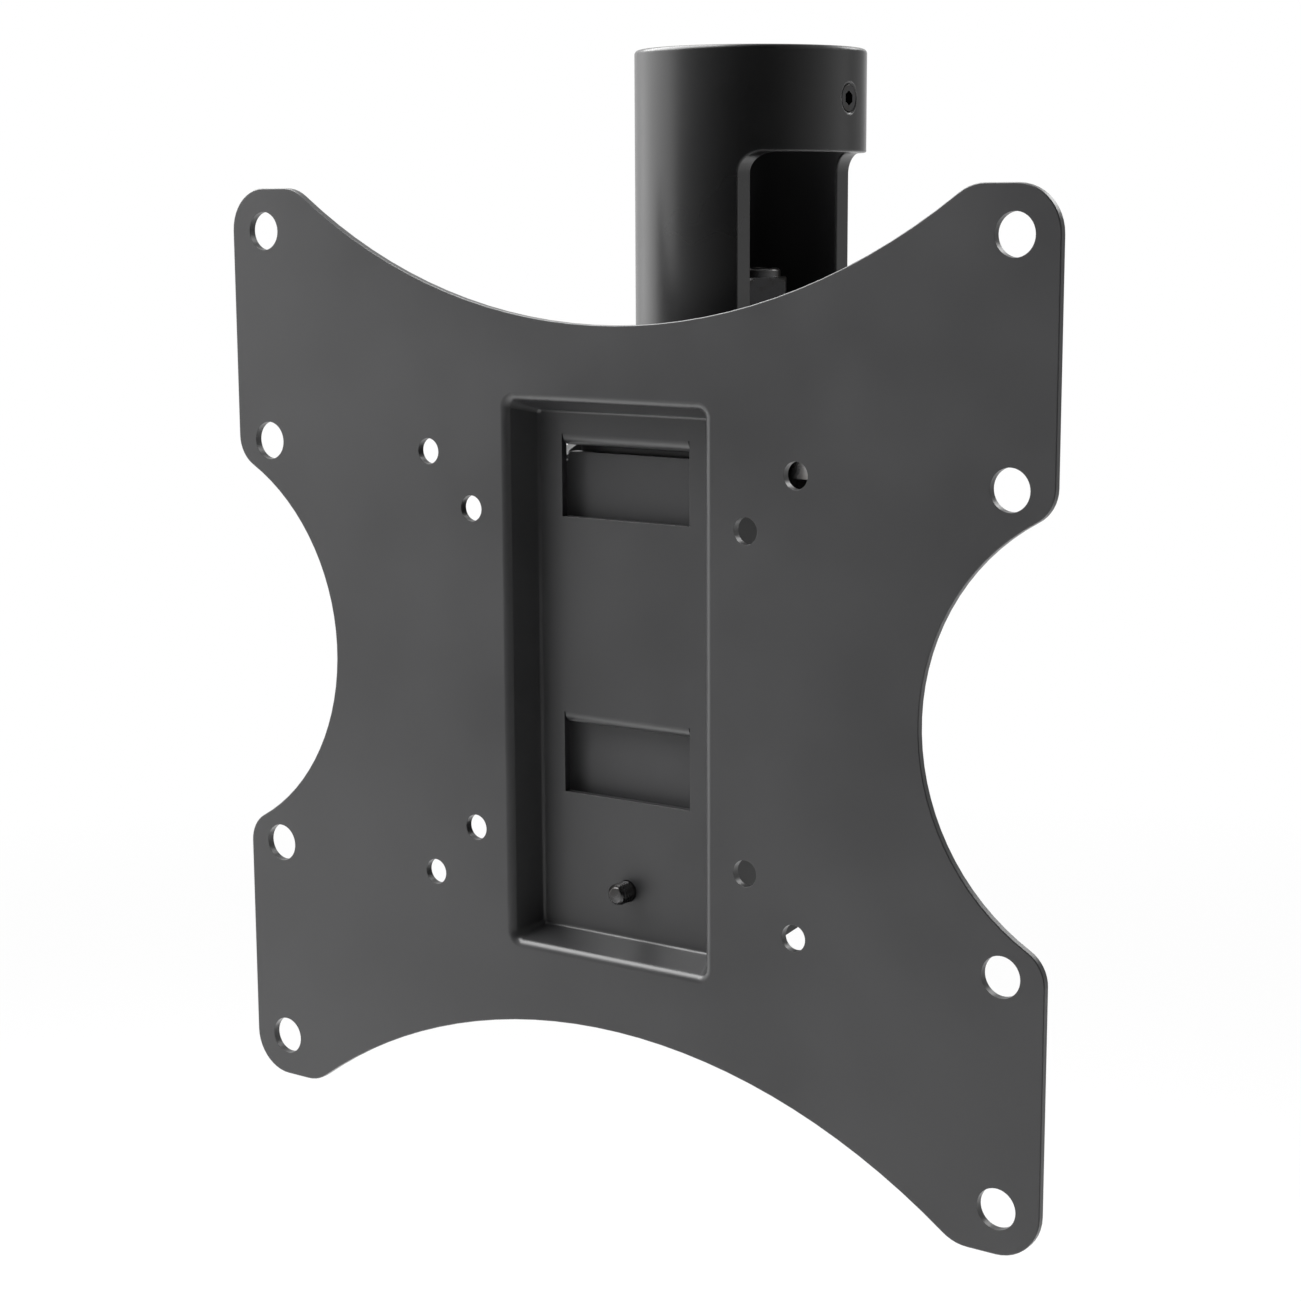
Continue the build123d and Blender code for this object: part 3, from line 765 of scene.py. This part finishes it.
@dataclass(frozen=True)
class SoftLamp:
    """A soft box with a rectangular face.

    Attributes:
        name: name of the lamp.
        place_m: where it stands.
        aim_m: the point that it faces.
        width_m: width of its face.
        height_m: height of its face.
        watts: power.
    """

    name: str
    place_m: tuple[float, float, float]
    aim_m: tuple[float, float, float]
    width_m: float
    height_m: float
    watts: float

    def build(self) -> bpy.types.Object:
        """Hangs the lamp.

        Returns:
            The lamp.
        """
        data = bpy.data.lights.new(self.name, "AREA")
        data.shape = "RECTANGLE"
        data.size = self.width_m
        data.size_y = self.height_m
        data.energy = self.watts
        lamp = bpy.data.objects.new(self.name, data)
        lamp.visible_camera = False
        bpy.context.scene.collection.objects.link(lamp)
        lamp.location = self.place_m
        lamp.rotation_euler = (Vector(self.aim_m) - Vector(self.place_m)).to_track_quat("-Z", "Y").to_euler()
        return lamp


@dataclass
class Studio:
    """A white room with a pale floor, a dark side behind the camera, a flag behind the mount and soft lamps.

    Attributes:
        floor_m: height of the floor, well below the hanging mount.
        floor_size_m: side of the floor.
        floor_colour: the floor's own colour.
        whiteness: share of plain white that the camera sees in the floor under the mount.
        shaded_m: distance from the mount at which the floor starts to turn white.
        white_m: distance at which it is plain white.
        front: direction in which the room is dark.
        front_starts: cosine of the turn from that direction at which the room starts to darken.
        bright: level of the white side of the room.
        dark: level of its dark side.
        ceiling: share of the light that is left straight above.
        ceiling_starts: height of the direction, as a sine, at which the ceiling starts to darken.
        ceiling_full: height at which it is darkest.
        flag: direction of the black flag, which keeps faces turned to the right dark.
        flagged: share of the light that is left in front of the flag.
        flag_starts: cosine of the turn from the flag's middle at which its edge begins.
        flag_full: cosine at which the flag is full.
        lamps: the lamps.
    """

    floor_m: float = -0.85
    floor_size_m: float = 14.0
    floor_colour: str = "#f2f2f2"
    whiteness: float = 0.8
    shaded_m: float = 0.8
    white_m: float = 3.0
    front: tuple[float, float, float] = (0.55, -0.83, 0.0)
    front_starts: float = -0.2
    bright: float = 1.0
    dark: float = 0.0
    ceiling: float = 0.15
    ceiling_starts: float = 0.7
    ceiling_full: float = 0.97
    flag: tuple[float, float, float] = (0.26, 0.97, 0.0)
    flagged: float = 0.4
    flag_starts: float = 0.88
    flag_full: float = 0.97
    lamps: Sequence[SoftLamp] = (
        SoftLamp("left_soft_box", (-1.68, -0.42, -0.15), (0, 0, -0.13), 2.0, 1.5, 13.0),
        SoftLamp("top_soft_box", (-0.88, -0.24, 0.95), (0, 0, -0.13), 1.6, 1.5, 78.0),
        SoftLamp("back_soft_box", (0.30, 1.15, 0.66), (0, 0, -0.13), 0.7, 0.5, 6.5),
        SoftLamp("low_soft_box", (-0.62, 0.0, -0.80), (-0.62, 0.0, 1.0), 1.3, 1.3, 8.0),
    )

    def side_level(self, tree: bpy.types.NodeTree, way: bpy.types.NodeSocket) -> bpy.types.NodeSocket:
        """Works out how white the room is on one side.

        Args:
            tree: node tree that takes the nodes.
            way: the direction looked at, from the mount.

        Returns:
            The level on that side.
        """
        flat = add_node(tree, "ShaderNodeVectorMath", {"operation": "MULTIPLY", 1: (1.0, 1.0, 0.0)}, {0: way})
        unit = add_node(tree, "ShaderNodeVectorMath", {"operation": "NORMALIZE"}, {0: flat.outputs["Vector"]})
        towards = add_node(tree, "ShaderNodeVectorMath",
                           {"operation": "DOT_PRODUCT", 1: Vector(self.front).normalized()},
                           {0: unit.outputs["Vector"]})
        around = add_node(tree, "ShaderNodeMapRange",
                          {"From Min": self.front_starts, "From Max": 1.0,
                           "To Min": self.bright, "To Max": self.dark},
                          {"Value": towards.outputs["Value"]})
        to_flag = add_node(tree, "ShaderNodeVectorMath",
                           {"operation": "DOT_PRODUCT", 1: Vector(self.flag).normalized()},
                           {0: unit.outputs["Vector"]})
        left_over = add_node(tree, "ShaderNodeMapRange",
                             {"From Min": self.flag_starts, "From Max": self.flag_full,
                              "To Min": 1.0, "To Max": self.flagged},
                             {"Value": to_flag.outputs["Value"]})
        level = add_node(tree, "ShaderNodeMath", {"operation": "MULTIPLY"},
                         {0: around.outputs["Result"], 1: left_over.outputs["Result"]})
        return level.outputs["Value"]

    def build_floor(self) -> bpy.types.Object:
        """Lays the floor, white to the camera and still shaded under the mount.

        Returns:
            The floor.
        """
        mesh = bmesh.new()
        bmesh.ops.create_grid(mesh, x_segments=1, y_segments=1, size=self.floor_size_m / 2,
                              matrix=Matrix.Translation((0, 0, self.floor_m)))
        data = bpy.data.meshes.new("studio_floor")
        mesh.to_mesh(data)
        mesh.free()
        floor = bpy.data.objects.new("studio_floor", data)
        bpy.context.scene.collection.objects.link(floor)
        made, tree = new_material("studio_paper")
        matt = add_node(tree, "ShaderNodeBsdfDiffuse", {"Color": linear(self.floor_colour)})
        white = add_node(tree, "ShaderNodeEmission", {"Color": WHITE, "Strength": 1.0})
        ray = add_node(tree, "ShaderNodeLightPath")
        mirrored = add_node(tree, "ShaderNodeMath", {"operation": "MAXIMUM"},
                            {0: ray.outputs["Is Glossy Ray"], 1: ray.outputs["Is Transmission Ray"]})
        place = add_node(tree, "ShaderNodeTexCoord").outputs["Object"]
        faded = add_node(tree, "ShaderNodeMath", {"operation": "MULTIPLY"},
                         {0: mirrored.outputs["Value"], 1: self.side_level(tree, place)})
        white_to = add_node(tree, "ShaderNodeMath", {"operation": "MAXIMUM"},
                            {0: ray.outputs["Is Camera Ray"], 1: faded.outputs["Value"]})
        far = add_node(tree, "ShaderNodeVectorMath", {"operation": "LENGTH"}, {0: place})
        paper = add_node(tree, "ShaderNodeMapRange",
                         {"From Min": self.shaded_m, "From Max": self.white_m,
                          "To Min": self.whiteness, "To Max": 1.0},
                         {"Value": far.outputs["Value"]})
        seen = add_node(tree, "ShaderNodeMath", {"operation": "MULTIPLY"},
                        {0: white_to.outputs["Value"], 1: paper.outputs["Result"]})
        mixed = add_node(tree, "ShaderNodeMixShader",
                         links={0: seen.outputs["Value"], 1: matt.outputs["BSDF"],
                                2: white.outputs["Emission"]})
        add_node(tree, "ShaderNodeOutputMaterial", links={"Surface": mixed.outputs["Shader"]})
        data.materials.append(made)
        return floor

    def build_room(self) -> bpy.types.World:
        """Paints the surroundings: white behind the mount, dark behind the camera.

        Returns:
            The world.
        """
        world = bpy.data.worlds.new("studio_room")
        world.use_nodes = True
        tree = world.node_tree
        tree.nodes.clear()
        way = add_node(tree, "ShaderNodeTexCoord")
        unit = add_node(tree, "ShaderNodeVectorMath", {"operation": "NORMALIZE"},
                        {0: way.outputs["Generated"]})
        height = add_node(tree, "ShaderNodeSeparateXYZ", links={0: unit.outputs["Vector"]})
        above = add_node(tree, "ShaderNodeMapRange",
                         {"From Min": self.ceiling_starts, "From Max": self.ceiling_full,
                          "To Min": 1.0, "To Max": self.ceiling},
                         {"Value": height.outputs["Z"]})
        level = add_node(tree, "ShaderNodeMath", {"operation": "MULTIPLY"},
                         {0: self.side_level(tree, unit.outputs["Vector"]), 1: above.outputs["Result"]})
        ray = add_node(tree, "ShaderNodeLightPath")
        strength = add_node(tree, "ShaderNodeMix", {"data_type": "FLOAT", 3: 1.0},
                            {0: ray.outputs["Is Camera Ray"], 2: level.outputs["Value"]})
        sky = add_node(tree, "ShaderNodeBackground", {"Color": WHITE}, {"Strength": strength.outputs[0]})
        add_node(tree, "ShaderNodeOutputWorld", links={"Surface": sky.outputs["Background"]})
        bpy.context.scene.world = world
        return world

    def build(self) -> None:
        """Sets up the whole studio."""
        self.build_floor()
        self.build_room()
        for lamp in self.lamps:
            lamp.build()


@dataclass(frozen=True)
class PhotoCamera:
    """The camera of the photograph.

    Attributes:
        place_mm: where it stands, in the model's frame.
        forward: the way it looks.
        up: the top of its picture.
        lens_mm: focal length.
        sensor_mm: side of its square picture.
        nearest_m: nearest distance that it sees.
        farthest_m: farthest distance that it sees.
    """

    place_mm: tuple[float, float, float] = (335.9, -514.7, -34.0)
    forward: tuple[float, float, float] = (-0.5700, 0.8034, -0.1722)
    up: tuple[float, float, float] = (-0.0959, 0.1431, 0.9851)
    lens_mm: float = 71.40
    sensor_mm: float = 36.0
    nearest_m: float = 0.02
    farthest_m: float = 60.0

    def build(self) -> bpy.types.Object:
        """Stands the camera up and makes it the scene's.

        Returns:
            The camera.
        """
        data = bpy.data.cameras.new("photo_camera")
        data.lens = self.lens_mm
        data.sensor_width = self.sensor_mm
        data.clip_start = self.nearest_m
        data.clip_end = self.farthest_m
        camera = bpy.data.objects.new("photo_camera", data)
        bpy.context.scene.collection.objects.link(camera)
        back = -Vector(self.forward).normalized()
        right = Vector(self.up).cross(back).normalized()
        turn = Matrix((right, back.cross(right), back)).transposed()
        camera.matrix_world = Matrix.Translation(Vector(self.place_mm) * MM) @ turn.to_4x4()
        bpy.context.scene.camera = camera
        return camera


def main() -> None:
    """Dresses the mount, sets up the studio and stands up the camera."""
    logging.basicConfig(level=logging.INFO, format="%(name)s: %(message)s")
    bpy.context.scene.view_settings.view_transform = "Standard"
    wardrobe = Wardrobe()
    for group in (PoleSocket(), SwivelStack(), YokeAndTilt(), ScreenBracket()):
        group.dress(wardrobe)
        for piece in group.build(wardrobe):
            LOG.info("%s: made %s with %d faces", group.title, piece.name, len(piece.data.polygons))
    Studio().build()
    PhotoCamera().build()


if __name__ == "__main__":
    main()
